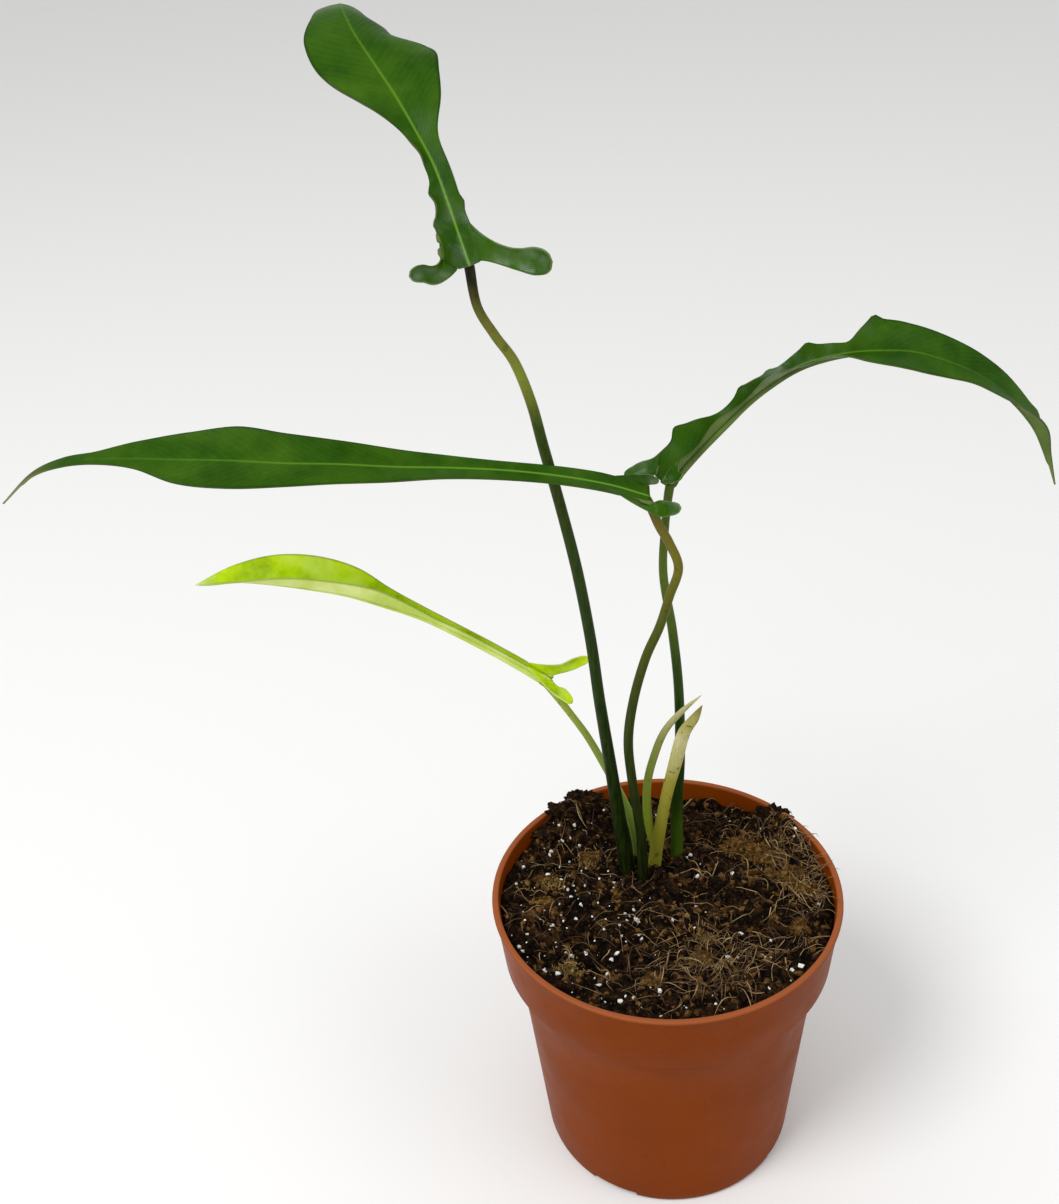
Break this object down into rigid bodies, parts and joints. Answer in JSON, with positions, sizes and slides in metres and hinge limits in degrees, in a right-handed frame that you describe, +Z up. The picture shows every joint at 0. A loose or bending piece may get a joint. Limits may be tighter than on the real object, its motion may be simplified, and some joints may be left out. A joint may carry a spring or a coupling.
{
  "type": "potted philodendron joepii plant",
  "caption": "Young potted philodendron joepii with long pinched leaves on thin stalks, fresh shoots and loose potting soil in a round brown nursery pot.",
  "frame": {"origin": "centre of the flat underside of the pot, which is the plane that the plant stands on", "axes": "+Z up along the pot's axis, +X to the right and +Y to the back as seen in the reference view"},
  "size_m": [0.299, 0.132, 0.39],
  "materials": {
    "pot_plastic": "reddish-brown thin moulded plastic with a soft sheen",
    "potting_soil": "dark crumbly peat and fibre with white perlite grains",
    "root_bark": "dull light-brown skin of roots and a buried stem",
    "dark_stalk": "smooth dark green skin, slightly waxy",
    "olive_stalk": "smooth olive-brown skin, slightly waxy",
    "young_stalk": "smooth light green skin",
    "straw_sheath": "thin straw-yellow sheath leaf, papery at the tip",
    "shoot_green": "smooth fresh green skin",
    "leaf_green": "leathery deep green leaf with a soft gloss and pale veins",
    "young_leaf": "thin lime-green young leaf, half unrolled"
  },
  "bodies": {
    "root": {"pot": "pot_plastic", "soil": "potting_soil", "crown_and_roots": "root_bark", "petiole_1": "dark_stalk", "petiole_2": "olive_stalk", "petiole_3": "dark_stalk", "petiole_4": "young_stalk", "cataphyll": "straw_sheath", "new_shoot": "shoot_green", "blade_1": "leaf_green", "blade_2": "leaf_green", "blade_3": "leaf_green", "blade_4": "young_leaf"}
  },
  "joints": []
}
